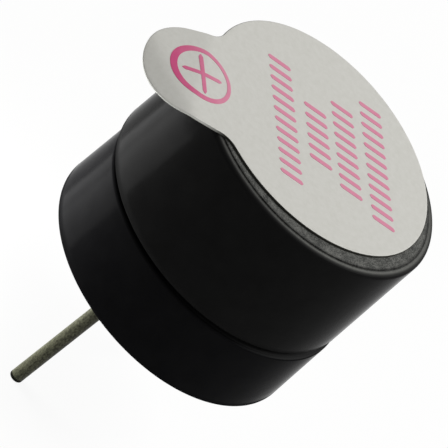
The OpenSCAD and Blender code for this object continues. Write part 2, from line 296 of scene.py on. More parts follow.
# Pins
# Two round wires of tinned copper-clad steel, drawn, and cropped with a small chamfer at the tip.
# They come down through the resin, and the longer one leans a little.
PIN_RADIUS = 0.30
PIN_TAIL_RADIUS = 0.21
PIN_CHAMFER = 0.08
PIN_CROP = 0.18
PIN_TAIL_Z = 0.25
PIN_STEPS = 64
PIN_RINGS = 12
PIN_CHAMFER_STEPS = 5
SHARP_EDGE = math.radians(40)
MERGE_DISTANCE = 1e-5
PIN_LEANS = {"positive_pin": (-0.008, 0.030), "negative_pin": (0.0, 0.0)}
LEAN_ABOVE_TIP = 2.0
TIN_HEX = "#2f2f24"
TIN_WORN_HEX = "#777862"
TIN_CROPPED_HEX = "#0e0e09"
BLOTCH_MM = 0.07
BLOTCH_LENGTH_MM = 0.12
BLOTCH_DEPTH = 0.02
DRAW_MARK_MM = 0.05
DRAW_MARK_LENGTH_MM = 2.5
DRAW_MARK_DEPTH = 0.004
# Painted light across the wire: a slight lift on its -Y side and painted shade on its +Y side
PAINTED_LIT_SIDE = 0.02
PAINTED_SHADE_SIDE = -0.24


def surface_mesh(name, points, closed_rows=False, closed_columns=True):
    """Mesh of a grid of points in mm, of shape (rows, columns, 3), with doubled points merged.

    Each face joins four neighbours. With rows counted upwards along the outside and columns
    anticlockwise, the faces point outwards.
    """
    rows, columns = points.shape[:2]
    index = np.arange(rows * columns).reshape(rows, columns)
    if closed_rows:
        index = np.concatenate([index, index[:1]])
    if closed_columns:
        index = np.concatenate([index, index[:, :1]], axis=1)
    faces = np.stack([index[:-1, :-1], index[:-1, 1:], index[1:, 1:], index[1:, :-1]], axis=-1)
    mesh = bpy.data.meshes.new(name)
    mesh.from_pydata((points.reshape(-1, 3) * MM).tolist(), [], faces.reshape(-1, 4).tolist())
    welded = bmesh.new()
    welded.from_mesh(mesh)
    bmesh.ops.remove_doubles(welded, verts=welded.verts, dist=MERGE_DISTANCE * MM)
    welded.to_mesh(mesh)
    welded.free()
    return mesh


def lathe_points(profile, centre, steps):
    """Turns a profile of (r, h) about an upright axis through (cx, cy).

    At each of the angles a round the circle, x = cx + r cos a, y = cy + r sin a and z = h.
    """
    angle = np.linspace(0, 2 * np.pi, steps, endpoint=False)
    radius, height = np.asarray(profile, float).T
    x = centre[0] + radius[:, None] * np.cos(angle)
    y = centre[1] + radius[:, None] * np.sin(angle)
    return np.stack([x, y, np.broadcast_to(height[:, None], x.shape)], axis=-1)


def arc_points(centre, radius, start, end, steps):
    """Points centre + radius (cos a, sin a) of an arc between two angles in degrees."""
    angle = np.radians(np.linspace(start, end, steps + 1))
    return np.array(centre) + radius * np.stack([np.cos(angle), np.sin(angle)], axis=-1)


def face_values(mesh, name):
    """Three numbers for each face of a mesh, as the name says: its center or its normal."""
    values = np.empty(len(mesh.polygons) * 3)
    mesh.polygons.foreach_get(name, values)
    return values.reshape(-1, 3)


def face_places(mesh, axis):
    """Distance of each face's middle from an upright axis, and its height, in mm."""
    middles = face_values(mesh, "center") / MM
    return np.hypot(middles[:, 0] - axis[0], middles[:, 1] - axis[1]), middles[:, 2]


def add_piece(name, mesh, finish, slot, *replaced):
    """Puts a mesh in the scene as a piece of the root body, smooth except at its sharp edges."""
    mesh.shade_smooth()
    mesh.set_sharp_from_angle(angle=SHARP_EDGE)
    mesh.materials.append(finish)
    piece = bpy.data.objects.new(name, mesh)
    bpy.context.scene.collection.objects.link(piece)
    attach(piece, "root")
    if replaced:
        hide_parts(*replaced)


# Drawn tin: dull olive grey in small blotches, with faint long marks, and painted shade darkening
# its +Y side.
# The marks are drawn coarser than real ones, so that they show.
tin, tree, shader, place = new_finish("drawn_tin", {
    "Roughness": 0.42, "Metallic": 0.1, "Specular IOR Level": 0.1})
blotch_space = add_node(tree, "ShaderNodeMapping", {
    "Vector": place,
    "Scale": (1 / (BLOTCH_MM * MM), 1 / (BLOTCH_MM * MM), 1 / (BLOTCH_LENGTH_MM * MM))})
blotch = add_node(tree, "ShaderNodeTexNoise", {
    "Vector": blotch_space.outputs[0], "Scale": 1.0, "Detail": 4.0, "Roughness": 0.65})
tin_axes = add_node(tree, "ShaderNodeSeparateXYZ", {0: place})
# Painted shade: the tone darkens across the wire towards +Y, and lightens a little towards -Y.
side_shade = add_node(tree, "ShaderNodeMapRange", {
    "Value": tin_axes.outputs["Y"], "From Min": -PIN_RADIUS * MM, "From Max": PIN_RADIUS * MM,
    "To Min": PAINTED_LIT_SIDE, "To Max": PAINTED_SHADE_SIDE})
tinned = add_node(tree, "ShaderNodeMath", {
    0: blotch.outputs[0], 1: side_shade.outputs[0]}, operation="ADD")
tin_tone = add_node(tree, "ShaderNodeValToRGB", {0: tinned.outputs[0]}, (
    (0.2, TIN_HEX), (0.7, TIN_WORN_HEX)))
tree.links.new(shader.inputs["Base Color"], tin_tone.outputs[0])
mark_space = add_node(tree, "ShaderNodeMapping", {
    "Vector": place,
    "Scale": (1 / (DRAW_MARK_MM * MM), 1 / (DRAW_MARK_MM * MM), 1 / (DRAW_MARK_LENGTH_MM * MM))})
marks = add_node(tree, "ShaderNodeTexNoise", {
    "Vector": mark_space.outputs[0], "Scale": 1.0, "Detail": 4.0})
blotch_bump = add_node(tree, "ShaderNodeBump", {
    "Height": blotch.outputs[0], "Distance": BLOTCH_DEPTH * MM})
marks_bump = add_node(tree, "ShaderNodeBump", {
    "Height": marks.outputs[0], "Distance": DRAW_MARK_DEPTH * MM, "Normal": blotch_bump.outputs[0]})
tree.links.new(shader.inputs["Normal"], marks_bump.outputs[0])

# Sheared wire end: nearly black, without a shine.
cropped, tree, shader, place = new_finish("cropped_wire", {
    "Roughness": 0.6, "Specular IOR Level": 0.05})
shear = add_node(tree, "ShaderNodeTexNoise", {
    "Vector": place, "Scale": 1 / (BLOTCH_MM * MM), "Detail": 3.0})
shear_tone = add_node(tree, "ShaderNodeValToRGB", {0: shear.outputs[0]}, (
    (0.4, TIN_CROPPED_HEX), (0.9, TIN_HEX)))
tree.links.new(shader.inputs["Base Color"], shear_tone.outputs[0])

pin_roots = []
for pin_name in ("positive_pin", "negative_pin"):
    low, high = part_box(pin_name)
    pin_x = (low.x + high.x) / 2 / MM
    tip_z = low.z / MM
    stub_z = high.z / MM
    pin_profile = [
        (0, tip_z),
        *arc_points((PIN_RADIUS - PIN_CHAMFER, tip_z + PIN_CHAMFER), PIN_CHAMFER,
                    -90, 0, PIN_CHAMFER_STEPS),
        *[(PIN_RADIUS, z) for z in np.linspace(tip_z + PIN_CROP, PIN_TAIL_Z, PIN_RINGS)],
        (PIN_TAIL_RADIUS, PIN_TAIL_Z), (PIN_TAIL_RADIUS, stub_z), (0, stub_z)]
    pin_points = lathe_points(pin_profile, (pin_x, 0), PIN_STEPS)
    # Each ring moves aside by its lean times its height above a point on the wire, up to the resin.
    above_pivot = np.minimum(pin_points[..., 2], PIN_TAIL_Z) - tip_z - LEAN_ABOVE_TIP
    pin_points[..., :2] += above_pivot[..., None] * PIN_LEANS[pin_name]
    pin_roots.append(pin_points[-1, 0, :2])
    pin_mesh = surface_mesh(pin_name + "_wire", pin_points)
    add_piece(pin_name + "_wire", pin_mesh, tin, "tinned_wire", pin_name)
    pin_mesh.materials.append(cropped)
    face_z = face_places(pin_mesh, (pin_x, 0))[1]
    pin_mesh.polygons.foreach_set("material_index", (face_z < tip_z + PIN_CROP).astype(np.int32))


# Solder joints
# Two cones of tin solder where the pins come through the board.
# The alloy flowed up the pins and cooled there.
SOLDER_HEX = "#9c9c98"
SOLDER_FROST_HEX = "#b9b9b5"
SOLDER_FROST_MM = 0.06

# Cooled solder: grey metal, slightly frosted.
solder, tree, shader, place = new_finish("cooled_solder", {"Roughness": 0.3, "Metallic": 1.0})
frost = add_node(tree, "ShaderNodeTexNoise", {
    "Vector": place, "Scale": 1 / (SOLDER_FROST_MM * MM), "Detail": 3.0})
frost_tone = add_node(tree, "ShaderNodeValToRGB", {0: frost.outputs[0]}, (
    (0.3, SOLDER_HEX), (0.7, SOLDER_FROST_HEX)))
tree.links.new(shader.inputs["Base Color"], frost_tone.outputs[0])
dress("solder_joints", solder)


# Lower case
# The moulded base, black polyester, smooth walls with a rounded foot and shoulder.
# Its recess takes the board and resin, its spigot the upper case, its rim the diaphragm.
LOWER_FOOT_EDGE = 0.28
LOWER_SHOULDER_EDGE = 0.12
LOWER_TOP_RADIUS = 6.0
LOWER_PARTING_Z = 3.58
LOWER_WALL_SHARES = (0.2, 0.4, 0.6, 0.8)
RECESS_RADIUS = 5.10
RECESS_TOP_Z = 2.60
RECESS_CHAMFER = 0.03
SPIGOT_RADIUS = 5.003
DIAPHRAGM_BORE = 4.753
DIAPHRAGM_SEAT_Z = 6.70
MAGNET_BORE = 4.503
LEDGE_RADIUS = 4.283
LEDGE_Z = 3.20
CASE_STEPS = 240
FOOT_STEPS = 10
SHOULDER_STEPS = 8
PLASTIC_HEX = "#111112"
PLASTIC_WORN_HEX = "#141415"
# Paler blacks for painted light towards +Y: a painted highlight on the shoulder, and painted light
# on the flat in the gap
PLASTIC_HIGHLIGHT_HEX = "#2a2a2a"
PLASTIC_GAP_LIGHT_HEX = "#303030"
HIGHLIGHT_FROM, HIGHLIGHT_FULL = 4.6, 5.9
GAP_LIGHT_FROM, GAP_LIGHT_FULL = 1.0, 5.0
HIGHLIGHT_SHARE = 0.5
SAME_FACE = 0.001
MOULD_RIPPLE_MM = 0.9
MOULD_RIPPLE_DEPTH = 0.006
MOULD_GRAIN_MM = 0.12
MOULD_GRAIN_DEPTH = 0.002
LOWER_IOR = 1.044
EDGE_IOR = 1.05
LOWER_SATIN = ((0.0, 0.9), (0.2, 0.9), (0.5, 0.18), (3.42, 0.18), (3.50, 0.9))
BAND_SPAN = 10.0

low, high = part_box("lower_case")
foot_radius = (high.x - low.x) / 2 / MM
rim_top_z = high.z / MM
lower_draft = LOWER_TOP_RADIUS - foot_radius
lower_wall = LOWER_PARTING_Z - LOWER_FOOT_EDGE - LOWER_SHOULDER_EDGE
lower_profile = [
    (RECESS_RADIUS, RECESS_TOP_Z), (RECESS_RADIUS, RECESS_CHAMFER),
    (RECESS_RADIUS + RECESS_CHAMFER, 0),
    *arc_points((foot_radius - LOWER_FOOT_EDGE, LOWER_FOOT_EDGE), LOWER_FOOT_EDGE,
                -90, 0, FOOT_STEPS),
    *[(foot_radius + lower_draft * t, LOWER_FOOT_EDGE + lower_wall * t) for t in LOWER_WALL_SHARES],
    *arc_points((LOWER_TOP_RADIUS - LOWER_SHOULDER_EDGE, LOWER_PARTING_Z - LOWER_SHOULDER_EDGE),
                LOWER_SHOULDER_EDGE, 0, 90, SHOULDER_STEPS),
    (SPIGOT_RADIUS, LOWER_PARTING_Z), (SPIGOT_RADIUS, rim_top_z), (DIAPHRAGM_BORE, rim_top_z),
    (DIAPHRAGM_BORE, DIAPHRAGM_SEAT_Z), (MAGNET_BORE, DIAPHRAGM_SEAT_Z), (MAGNET_BORE, LEDGE_Z),
    (LEDGE_RADIUS, LEDGE_Z), (LEDGE_RADIUS, RECESS_TOP_Z)]
lower_points = lathe_points(lower_profile, (0, 0), CASE_STEPS)
lower_mesh = surface_mesh("lower_shell", lower_points, closed_rows=True)


def moulded_plastic(name, fresh_hex, worn_hex, ior, satin_bands):
    """Polyester with a faint mould ripple, whose roughness follows pairs of (height, roughness)."""
    plastic, tree, shader, place = new_finish(name, {"IOR": ior})
    plastic_axes = add_node(tree, "ShaderNodeSeparateXYZ", {0: place})
    height_share = add_node(tree, "ShaderNodeMath", {
        0: plastic_axes.outputs["Z"], 1: 1 / (BAND_SPAN * MM)}, operation="MULTIPLY")
    satin = add_node(tree, "ShaderNodeValToRGB", {0: height_share.outputs[0]}, [
        (z / BAND_SPAN, (roughness, roughness, roughness, 1)) for z, roughness in satin_bands])
    tree.links.new(shader.inputs["Roughness"], satin.outputs[0])
    ripple = add_node(tree, "ShaderNodeTexNoise", {
        "Vector": place, "Scale": 1 / (MOULD_RIPPLE_MM * MM), "Detail": 2.0})
    grain = add_node(tree, "ShaderNodeTexNoise", {
        "Vector": place, "Scale": 1 / (MOULD_GRAIN_MM * MM), "Detail": 2.0})
    ripple_tone = add_node(tree, "ShaderNodeValToRGB", {0: ripple.outputs[0]}, (
        (0.3, fresh_hex), (0.7, worn_hex)))
    tree.links.new(shader.inputs["Base Color"], ripple_tone.outputs[0])
    grain_bump = add_node(tree, "ShaderNodeBump", {
        "Height": grain.outputs[0], "Distance": MOULD_GRAIN_DEPTH * MM})
    ripple_bump = add_node(tree, "ShaderNodeBump", {
        "Height": ripple.outputs[0], "Distance": MOULD_RIPPLE_DEPTH * MM,
        "Normal": grain_bump.outputs[0]})
    tree.links.new(shader.inputs["Normal"], ripple_bump.outputs[0])
    return plastic


# Moulded polyester: deep black with a soft sheen on the wall, matte at the foot and parting line.
# The grain is drawn coarser than a real mould's, so that it shows.
polyester = moulded_plastic(
    "moulded_polyester", PLASTIC_HEX, PLASTIC_WORN_HEX, LOWER_IOR, LOWER_SATIN)
add_piece("lower_shell", lower_mesh, polyester, "case_plastic", "lower_case")

# Painted light on the polyester: a paler black towards +Y, as a painted highlight on the shoulder's
# rounding and as painted light against the shade on its flat in the gap.
for edge_name, edge_hex, edge_from, edge_full in (
        ("painted_highlight_polyester", PLASTIC_HIGHLIGHT_HEX, HIGHLIGHT_FROM, HIGHLIGHT_FULL),
        ("painted_gap_light_polyester", PLASTIC_GAP_LIGHT_HEX, GAP_LIGHT_FROM, GAP_LIGHT_FULL)):
    edge_plastic, tree, shader, place = new_finish(edge_name, {"Roughness": 0.5, "IOR": EDGE_IOR})
    edge_axes = add_node(tree, "ShaderNodeSeparateXYZ", {0: place})
    # Painted light: the tone pales towards +Y.
    painted_light = add_node(tree, "ShaderNodeMapRange", {
        "Value": edge_axes.outputs["Y"], "From Min": edge_from * MM, "From Max": edge_full * MM})
    painted_light_tone = add_node(tree, "ShaderNodeValToRGB", {0: painted_light.outputs[0]}, (
        (0, PLASTIC_HEX), (1, edge_hex)))
    tree.links.new(shader.inputs["Base Color"], painted_light_tone.outputs[0])
    lower_mesh.materials.append(edge_plastic)

face_out, face_z = face_places(lower_mesh, (0, 0))
on_shoulder = (
    (face_z > LOWER_PARTING_Z - LOWER_SHOULDER_EDGE * HIGHLIGHT_SHARE)
    & (face_z < LOWER_PARTING_Z - SAME_FACE)
    & (face_out > LOWER_TOP_RADIUS - LOWER_SHOULDER_EDGE))
in_gap = (np.abs(face_z - LOWER_PARTING_Z) < SAME_FACE) & (face_out > SPIGOT_RADIUS + SAME_FACE)
lower_mesh.polygons.foreach_set("material_index", (on_shoulder + 2 * in_gap).astype(np.int32))


# Yoke, core, magnet, coil and leads
# The magnet system in the spigot: iron yoke with a riveted core, ferrite ring round the winding.
# The winding is enamelled copper, and its two ends go down through the yoke to the board.
IRON_HEX = "#8d8e90"
IRON_DULL_HEX = "#77787a"
IRON_PATCH_MM = 0.5
FERRITE_HEX = "#3c3a39"
FERRITE_DUST_HEX = "#4a4846"
FERRITE_GRAIN_MM = 0.1
COPPER_HEX = "#b4682c"
COPPER_DARK_HEX = "#8f4a1e"
ENAMEL_PATCH_MM = 0.3

# Plated soft iron: grey metal with a slightly uneven shine.
iron, tree, shader, place = new_finish("plated_iron", {"Roughness": 0.38, "Metallic": 1.0})
plating = add_node(tree, "ShaderNodeTexNoise", {
    "Vector": place, "Scale": 1 / (IRON_PATCH_MM * MM), "Detail": 4.0})
plating_tone = add_node(tree, "ShaderNodeValToRGB", {0: plating.outputs[0]}, (
    (0.3, IRON_DULL_HEX), (0.7, IRON_HEX)))
tree.links.new(shader.inputs["Base Color"], plating_tone.outputs[0])
for iron_node in ("yoke_plate", "pole_core", "armature_disc"):
    dress(iron_node, iron)

# Bonded ferrite: dull charcoal with a powdery grain.
ferrite, tree, shader, place = new_finish("bonded_ferrite", {"Roughness": 0.6})
powder = add_node(tree, "ShaderNodeTexNoise", {
    "Vector": place, "Scale": 1 / (FERRITE_GRAIN_MM * MM), "Detail": 3.0})
powder_tone = add_node(tree, "ShaderNodeValToRGB", {0: powder.outputs[0]}, (
    (0.3, FERRITE_HEX), (0.7, FERRITE_DUST_HEX)))
tree.links.new(shader.inputs["Base Color"], powder_tone.outputs[0])
dress("ring_magnet", ferrite)

# Enamelled copper: warm brown metal, glossy and a little uneven.
copper, tree, shader, place = new_finish("enamelled_copper", {
    "Roughness": 0.3, "Metallic": 1.0})
enamel = add_node(tree, "ShaderNodeTexNoise", {
    "Vector": place, "Scale": 1 / (ENAMEL_PATCH_MM * MM), "Detail": 2.0})
enamel_tone = add_node(tree, "ShaderNodeValToRGB", {0: enamel.outputs[0]}, (
    (0.3, COPPER_DARK_HEX), (0.7, COPPER_HEX)))
tree.links.new(shader.inputs["Base Color"], enamel_tone.outputs[0])
for copper_node in ("coil_winding", "coil_leads"):
    dress(copper_node, copper)


# Potting resin
# Black epoxy poured into the base under the board, which seals it and holds the pins.
# It wets the wall and the pins, so its surface climbs them in a small meniscus.
RESIN_Z = 0.25
RESIN_TOP_Z = 1.80
MENISCUS_HEIGHT = 0.12
MENISCUS_REACH = 0.22
MENISCUS_AT_PIN = 0.8
RESIN_RINGS = 64
RESIN_RING_SPREAD = 1.6
RESIN_STEPS = 192
RESIN_HEX = "#0d0d0e"
RESIN_HAZE_HEX = "#19191b"
RESIN_HAZE_MM = 1.2
RESIN_WAVE_DEPTH = 0.02

# The surface lies lower by the meniscus times exp(-d / reach), with d the distance to the wall,
# and likewise round the pins.
ring_radius = RECESS_RADIUS * (1 - (1 - np.linspace(1, 0, RESIN_RINGS)) ** RESIN_RING_SPREAD)
ring_profile = np.stack([ring_radius, np.zeros(RESIN_RINGS)], axis=-1)
ring_points = lathe_points(ring_profile, (0, 0), RESIN_STEPS)
to_wall = RECESS_RADIUS - np.hypot(ring_points[..., 0], ring_points[..., 1])
to_pin = np.min([np.hypot(ring_points[..., 0] - root_x, ring_points[..., 1] - root_y)
                 for root_x, root_y in pin_roots], axis=0) - PIN_RADIUS
pin_climb = MENISCUS_AT_PIN * np.exp(-np.maximum(to_pin, 0) / MENISCUS_REACH)
climb = np.exp(-to_wall / MENISCUS_REACH) + pin_climb
ring_points[..., 2] = RESIN_Z - MENISCUS_HEIGHT * np.minimum(climb, 1)
resin_cap = ring_points[:1].copy()
resin_cap[..., 2] = RESIN_TOP_Z
resin_centre = np.zeros_like(resin_cap)
resin_centre[..., 2] = RESIN_TOP_Z
resin_points = np.concatenate([ring_points[::-1], resin_cap, resin_centre])
resin_mesh = surface_mesh("potting_fill", resin_points)

# Poured epoxy: black, half glossy, with a slow wave in its surface.
resin, tree, shader, place = new_finish("poured_epoxy", {
    "Roughness": 0.28, "Specular IOR Level": 0.35})
haze = add_node(tree, "ShaderNodeTexNoise", {
    "Vector": place, "Scale": 1 / (RESIN_HAZE_MM * MM), "Detail": 3.0})
haze_tone = add_node(tree, "ShaderNodeValToRGB", {0: haze.outputs[0]}, (
    (0.3, RESIN_HEX), (0.7, RESIN_HAZE_HEX)))
tree.links.new(shader.inputs["Base Color"], haze_tone.outputs[0])
haze_bump = add_node(tree, "ShaderNodeBump", {
    "Height": haze.outputs[0], "Distance": RESIN_WAVE_DEPTH * MM})
tree.links.new(shader.inputs["Normal"], haze_bump.outputs[0])
add_piece("potting_fill", resin_mesh, resin, "resin", "potting_resin")


# Diaphragm
# A thin disc punched from rolled spring steel.
# It lies loose on the rim's seat, and the magnet holds it there.
STEEL_HEX = "#b9b9b6"
STEEL_LINE_HEX = "#9d9d9b"
ROLL_LINE_MM = 0.04
ROLL_LINE_LENGTH_MM = 2
ROLL_LINE_DEPTH_MM = 1

# Rolled steel: bright metal with fine straight lines.
steel, tree, shader, place = new_finish("rolled_steel", {"Roughness": 0.3, "Metallic": 1.0})
line_space = add_node(tree, "ShaderNodeMapping", {
    "Vector": place,
    "Scale": (
        1 / (ROLL_LINE_MM * MM), 1 / (ROLL_LINE_LENGTH_MM * MM), 1 / (ROLL_LINE_DEPTH_MM * MM))})
rolling = add_node(tree, "ShaderNodeTexNoise", {
    "Vector": line_space.outputs[0], "Scale": 1.0, "Detail": 3.0})
rolling_tone = add_node(tree, "ShaderNodeValToRGB", {0: rolling.outputs[0]}, (
    (0.3, STEEL_LINE_HEX), (0.7, STEEL_HEX)))
tree.links.new(shader.inputs["Base Color"], rolling_tone.outputs[0])
dress("diaphragm", steel)


# Upper case
# The moulded cap of the same black polyester, with a polished wall and a fine textured top.
# A narrow groove runs round the top inside its rounded rim. The cap is pressed over the spigot.
UPPER_SKIRT_EDGE = 0.50
UPPER_TOP_EDGE = 0.19
UPPER_DRAFT = 0.10
UPPER_WALL_SHARES = (0.15, 0.3, 0.45, 0.6, 0.75, 0.9)
RIM_WIDTH = 0.26
RIM_DROP = 0.05
RIM_INNER_EDGE = 0.006
GROOVE_WIDTH = 0.09
GROOVE_DEPTH = 0.05
GROOVE_EDGE = 0.02
SKIRT_STEPS = 16
TOP_EDGE_STEPS = 10
RIM_INNER_STEPS = 2
GROOVE_STEPS = 4
TOP_RING_RADII = (5.3, 4.8, 4.0, 3.0, 2.0)
SOUND_HOLE_RADIUS = 1.0
ROOF_Z = 8.55
CHAMBER_RADIUS = 4.55
UPPER_BORE = 5.20
POLISHED_HEX = "#161616"
POLISHED_WORN_HEX = "#191919"
UPPER_IOR = 1.05
UPPER_SATIN = ((3.6, 0.9), (3.95, 0.9), (4.25, 0.18), (9.0, 0.16))
TEXTURE_HEX = "#373836"
TEXTURE_SPARK_HEX = "#757571"
TEXTURE_GRAIN_MM = 0.07
TEXTURE_DEPTH = 0.03
TEXTURE_CLOUD_MM = 0.3
TEXTURE_CLOUD_SHARE = 0.5
TEXTURE_BELOW_GROOVE = 0.06
TEXTURE_FROM_WALL = 0.03
# Radius, tone beside the flat's (painted shade in the groove and on the outer rounding, painted
# highlight on the lip), and 1 on the lip outside the groove
RIM_PAINTED_SHADING = (
    (5.54, 1.0, 0), (5.60, 0.62, 0), (5.66, 0.28, 0), (5.69, 0.30, 0), (5.73, 0.75, 1),
    (5.79, 0.75, 1), (5.83, 0.42, 1), (5.87, 0.16, 1), (5.91, 0.04, 1))
# Painted light on the lip: between these places on Y it goes from darker to lighter
LIP_LIT_FROM, LIP_LIT_TO = 1.7, 4.8
LIP_DARKER, LIP_LIGHTER = -0.17, 0.7
LIP_SMOOTHED = 0.85
EVEN_SPECKLE = 0.75

low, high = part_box("upper_case")
upper_axis = ((low.x + high.x) / 2 / MM, (low.y + high.y) / 2 / MM)
skirt_radius = (high.x - low.x) / 2 / MM
skirt_z = low.z / MM
top_z = high.z / MM
top_radius = skirt_radius - UPPER_DRAFT
rim_z = top_z - RIM_DROP
groove_out = top_radius - RIM_WIDTH
flat_radius = groove_out - GROOVE_WIDTH
wall_from = skirt_z + UPPER_SKIRT_EDGE
upper_wall = rim_z - UPPER_TOP_EDGE - wall_from
upper_profile = [
    (UPPER_BORE, skirt_z),
    *arc_points((skirt_radius - UPPER_SKIRT_EDGE, wall_from), UPPER_SKIRT_EDGE,
                -90, 0, SKIRT_STEPS),
    *[(skirt_radius - UPPER_DRAFT * t, wall_from + upper_wall * t) for t in UPPER_WALL_SHARES],
    *arc_points((top_radius - UPPER_TOP_EDGE, rim_z - UPPER_TOP_EDGE), UPPER_TOP_EDGE,
                0, 90, TOP_EDGE_STEPS),
    *arc_points((groove_out + RIM_INNER_EDGE, rim_z - RIM_INNER_EDGE), RIM_INNER_EDGE,
                90, 180, RIM_INNER_STEPS),
    (groove_out, top_z - GROOVE_DEPTH), (flat_radius, top_z - GROOVE_DEPTH),
    *arc_points((flat_radius - GROOVE_EDGE, top_z - GROOVE_EDGE), GROOVE_EDGE,
                0, 90, GROOVE_STEPS),
    *[(ring, top_z) for ring in TOP_RING_RADII],
    (SOUND_HOLE_RADIUS, top_z), (SOUND_HOLE_RADIUS, ROOF_Z), (CHAMBER_RADIUS, ROOF_Z),
    (CHAMBER_RADIUS, rim_top_z), (UPPER_BORE, rim_top_z)]
upper_points = lathe_points(upper_profile, upper_axis, CASE_STEPS)
upper_mesh = surface_mesh("upper_shell", upper_points, closed_rows=True)

# Polished polyester: black, a little glossier than the base, and matte round the lower edge.
polished = moulded_plastic(
    "polished_polyester", POLISHED_HEX, POLISHED_WORN_HEX, UPPER_IOR, UPPER_SATIN)
add_piece("upper_shell", upper_mesh, polished, "case_plastic", "upper_case")

# Spark-textured polyester: dull dark grey with pale specks, smooth on the lip, with painted shade
# in the groove and on the outer rounding and a painted highlight on the lip that grows towards +Y.
# The specks are drawn coarser than the real texture, so that they show.
textured, tree, shader, place = new_finish("textured_polyester", {
    "Roughness": 0.62, "Specular IOR Level": 0.06})
spark = add_node(tree, "ShaderNodeTexNoise", {
    "Vector": place, "Scale": 1 / (TEXTURE_GRAIN_MM * MM), "Detail": 3.0, "Roughness": 0.6})
cloud = add_node(tree, "ShaderNodeTexNoise", {
    "Vector": place, "Scale": 1 / (TEXTURE_CLOUD_MM * MM), "Detail": 2.0})
speckle = add_node(tree, "ShaderNodeMath", {
    0: cloud.outputs[0], 1: TEXTURE_CLOUD_SHARE, 2: spark.outputs[0]}, operation="MULTIPLY_ADD")
from_axis = add_node(tree, "ShaderNodeVectorMath", {
    0: place, 1: (upper_axis[0] * MM, upper_axis[1] * MM, 0)}, operation="SUBTRACT")
in_plan = add_node(tree, "ShaderNodeVectorMath", {
    0: from_axis.outputs[0], 1: (1, 1, 0)}, operation="MULTIPLY")
plan_radius = add_node(tree, "ShaderNodeVectorMath", {0: in_plan.outputs[0]}, operation="LENGTH")
rim_from, rim_to = RIM_PAINTED_SHADING[0][0], RIM_PAINTED_SHADING[-1][0]
rim_share = add_node(tree, "ShaderNodeMapRange", {
    "Value": plan_radius.outputs["Value"], "From Min": rim_from * MM, "From Max": rim_to * MM})
# Painted shade and highlight across the rim, by radius.
rim_painted_shading = add_node(tree, "ShaderNodeValToRGB", {0: rim_share.outputs[0]}, [
    ((radius - rim_from) / (rim_to - rim_from), (tone, tone, tone, on_lip))
    for radius, tone, on_lip in RIM_PAINTED_SHADING])
rim_axes = add_node(tree, "ShaderNodeSeparateXYZ", {0: place})
# Painted light: the lip's tone is darkened towards -Y and brightened towards +Y.
lip_painted_light = add_node(tree, "ShaderNodeMapRange", {
    "Value": rim_axes.outputs["Y"], "From Min": LIP_LIT_FROM * MM, "From Max": LIP_LIT_TO * MM,
    "To Min": LIP_DARKER, "To Max": LIP_LIGHTER})
lip_share = add_node(tree, "ShaderNodeMath", {
    0: rim_painted_shading.outputs["Alpha"], 1: lip_painted_light.outputs[0], 2: 1.0}, operation="MULTIPLY_ADD")
rim_shade = add_node(tree, "ShaderNodeVectorMath", {
    0: rim_painted_shading.outputs["Color"], "Scale": lip_share.outputs[0]}, operation="SCALE")
smoothed = add_node(tree, "ShaderNodeMath", {
    0: rim_painted_shading.outputs["Alpha"], 1: LIP_SMOOTHED}, operation="MULTIPLY")
# Sockets 2 and 3 of a Mix node take its two numbers, and 6 and 7 its two colours.
evened = add_node(tree, "ShaderNodeMix", {
    0: smoothed.outputs[0], 2: speckle.outputs[0], 3: EVEN_SPECKLE})
speckle_tone = add_node(tree, "ShaderNodeValToRGB", {0: evened.outputs[0]}, (
    (0.6, TEXTURE_HEX), (0.95, TEXTURE_SPARK_HEX)))
toned = add_node(tree, "ShaderNodeMix", {
    "Factor": 1.0, 6: speckle_tone.outputs[0], 7: rim_shade.outputs[0]},
    data_type="RGBA", blend_type="MULTIPLY")
tree.links.new(shader.inputs["Base Color"], toned.outputs[2])
bump_left = add_node(tree, "ShaderNodeMath", {0: 1.0, 1: smoothed.outputs[0]}, operation="SUBTRACT")
spark_bump = add_node(tree, "ShaderNodeBump", {
    "Strength": bump_left.outputs[0], "Height": spark.outputs[0], "Distance": TEXTURE_DEPTH * MM})
tree.links.new(shader.inputs["Normal"], spark_bump.outputs[0])
upper_mesh.materials.append(textured)
face_out, face_z = face_places(upper_mesh, upper_axis)
on_top = (
    (face_z > top_z - GROOVE_DEPTH - TEXTURE_BELOW_GROOVE)
    & (face_out < top_radius - TEXTURE_FROM_WALL))
upper_mesh.polygons.foreach_set("material_index", on_top.astype(np.int32))


# Seal label
# A die-cut disc of coated paper stuck over the sound hole, with a pull tab that is left unglued.
# The tab runs out over the case's edge and droops at two soft folds, and its cut edge shows.
LABEL_RADIUS = 5.64
LABEL_THICKNESS = 0.12
LABEL_SHIFT = 0.575
LABEL_SHIFT_ANGLE = math.radians(-118)
TAB_ANGLE = math.radians(-35)
TAB_REACH = 6.16
TAB_RADIUS = 2.57
TAB_FLARE = math.radians(4.5)
TAB_FILLET = 1.0
FOLD_TURNS = np.radians([-17.3, 21])
FOLD_STARTS = (5.96, 7.25)
FOLD_SOFTNESS = (0.09, 0.16)
FOLD_SLOPES = np.radians([0, 11, 30])
DISC_STEPS = 200
TAB_STEPS = 90
NECK_STEPS = 10
TAB_SIDE_STEPS = 15
LABEL_RINGS = 60
LABEL_RING_SPREAD = 0.7
# The cut edge from the top down: distance inside the outline, and depth as a share of the thickness
EDGE_INSETS = (0.05, 0.02, 0.005, 0, 0, 0.005, 0.02)
EDGE_DEPTHS = (0, 0.05, 0.15, 0.3, 0.7, 0.85, 1)
EDGE_COSINE = 0.8
PAPER_HEX = "#cdccc6"
PAPER_SHADE_HEX = "#c6c5be"
# Painted shade on the cut edge round the disc, and a painted highlight on it along the tab
PAPER_EDGE_SHADE_HEX = "#32322d"
PAPER_TAB_EDGE_LIT_HEX = "#d8d8d2"
EDGE_LIT_FROM, EDGE_LIT_TO = 5.2, 6.4
FIBRE_MM = 0.25
FIBRE_DEPTH = 0.006

